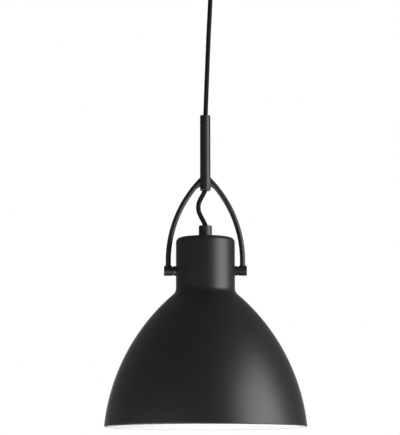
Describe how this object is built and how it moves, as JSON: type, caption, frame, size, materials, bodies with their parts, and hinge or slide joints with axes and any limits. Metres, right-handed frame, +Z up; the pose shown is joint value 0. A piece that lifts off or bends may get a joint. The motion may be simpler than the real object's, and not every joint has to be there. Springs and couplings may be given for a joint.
{
  "type": "pendant ceiling light",
  "caption": "Black dome pendant lamp: a white-lined shade with a straight neck tilts in a slim arched yoke that hangs by its flex from a small ceiling cup.",
  "frame": {"origin": "middle of the ceiling bracket's face, in the plane of the ceiling", "axes": "+Z up, out of the bracket into the ceiling and along the stem; X along the pivot axis, between the yoke's arms; -Y towards the viewer of the picture"},
  "size_m": [0.2398, 0.2397, 0.6302],
  "materials": {
    "black_paint": "matt black powder coat",
    "shade_paint": "matt black outside, satin white inside",
    "black_flex": "smooth dull black sheath",
    "black_steel": "blackened steel",
    "zinc_steel": "zinc plated",
    "brass": "bare brass",
    "white_block": "moulded, dull",
    "black_nylon": "moulded nylon",
    "dark_fibre": "pressed fibre",
    "black_holder": "moulded, satin",
    "holder_ceramic": "unglazed white",
    "brown_core": "smooth insulation",
    "blue_core": "smooth insulation",
    "green_core": "smooth insulation, green and yellow",
    "opal_globe": "opal diffuser",
    "white_bulb": "moulded, satin",
    "bulb_metal": "rolled thread, bright",
    "black_glass": "black insulating disc"
  },
  "bodies": {
    "ceiling": {"ceiling_bracket": "zinc_steel", "canopy_cup": "black_paint", "canopy_screws": "black_steel", "earth_screw": "zinc_steel", "terminal_block": "white_block", "terminal_tubes": "brass", "terminal_screws": "zinc_steel", "block_screw": "zinc_steel", "ceiling_grip": "black_paint", "ceiling_grip_nut": "zinc_steel", "ceiling_grip_screw": "black_nylon", "cable_tail": "black_flex", "ceiling_live_core": "brown_core", "ceiling_neutral_core": "blue_core", "ceiling_earth_core": "green_core"},
    "cable": {"suspension_cable": "black_flex"},
    "pendant": {"stem_cap": "black_paint", "stem_cap_screw": "black_nylon", "stem_tube": "black_paint", "stem_cable": "black_flex", "yoke": "black_paint", "lead_ferrule": "black_paint", "lamp_lead": "black_flex"},
    "shade": {"neck": "shade_paint", "shade": "shade_paint", "cable_gland": "black_paint", "gland_screw": "black_nylon", "threaded_nipple": "zinc_steel", "neck_nut": "zinc_steel", "pivot_screws": "black_steel", "pivot_nuts": "zinc_steel", "friction_washer_left": "dark_fibre", "friction_washer_right": "dark_fibre", "pivot_spacer_left": "black_paint", "pivot_spacer_right": "black_paint", "saddle_washer_left": "zinc_steel", "saddle_washer_right": "zinc_steel", "holder_cap": "black_holder", "holder_cap_nut": "zinc_steel", "holder_skirt": "black_holder", "ceramic_core": "holder_ceramic", "holder_terminal_screws": "zinc_steel", "lamp_live_core": "brown_core", "lamp_neutral_core": "blue_core", "lamp_earth_core": "green_core", "screw_shell": "brass", "centre_contact": "brass"},
    "bulb": {"bulb_globe": "opal_globe", "bulb_body": "white_bulb", "bulb_cap": "bulb_metal", "bulb_insulator": "black_glass", "bulb_contact": "brass"}
  },
  "joints": [
    {"name": "cable_sway", "type": "hinge", "parent": "ceiling", "child": "cable", "pos_m": [0, 0, -0.05], "axis": [0, 1, 0], "range_deg": [-15, 15]},
    {"name": "pendant_rock", "type": "hinge", "parent": "cable", "child": "pendant", "pos_m": [0, 0, -0.257], "axis": [1, 0, 0], "range_deg": [-15, 15]},
    {"name": "shade_tilt", "type": "hinge", "parent": "pendant", "child": "shade", "pos_m": [0, 0, -0.44498], "axis": [1, 0, 0], "range_deg": [-15, 15], "deforming": ["lamp_lead"]},
    {"name": "bulb_out", "type": "slide", "parent": "shade", "child": "bulb", "axis": [0, 0, -1], "range_m": [0, 0.2]}
  ]
}
